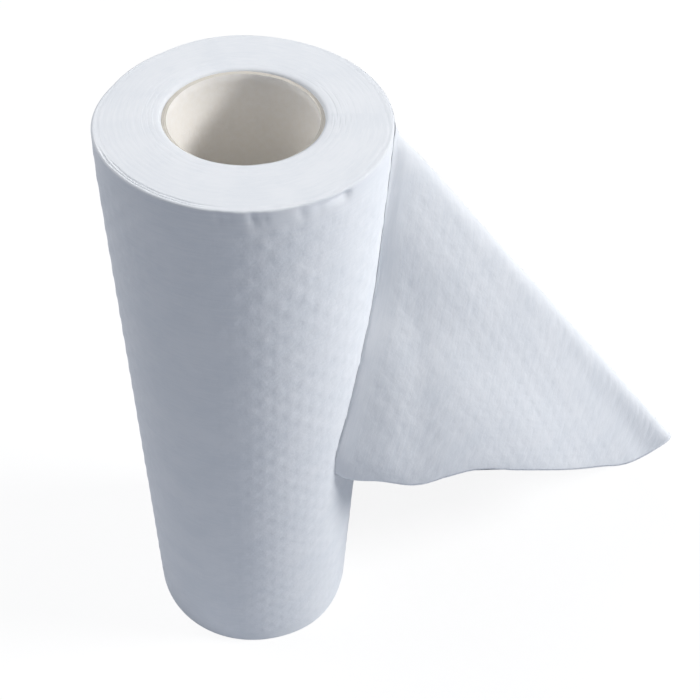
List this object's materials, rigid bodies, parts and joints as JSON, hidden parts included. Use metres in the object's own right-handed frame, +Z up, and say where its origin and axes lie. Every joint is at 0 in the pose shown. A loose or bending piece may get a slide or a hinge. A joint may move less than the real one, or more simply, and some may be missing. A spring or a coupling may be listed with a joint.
{
  "type": "cleaning cloth roll",
  "caption": "Roll of white embossed nonwoven cleaning cloth standing on its end, wound on a cardboard core, with its loose end folded over at the side.",
  "frame": {"origin": "on the roll's axis, in the plane that the roll stands on", "axes": "+Z up along the core, +X towards the loose end, the picture's view is from -Y"},
  "size_m": [0.2375, 0.089, 0.25],
  "materials": {
    "nonwoven_cloth": "soft matt nonwoven with a small embossed dot pattern",
    "cardboard": "pale spiral-wound board, matt"
  },
  "bodies": {
    "root": {"cloth_roll": "nonwoven_cloth", "core_tube": "cardboard"}
  },
  "joints": []
}
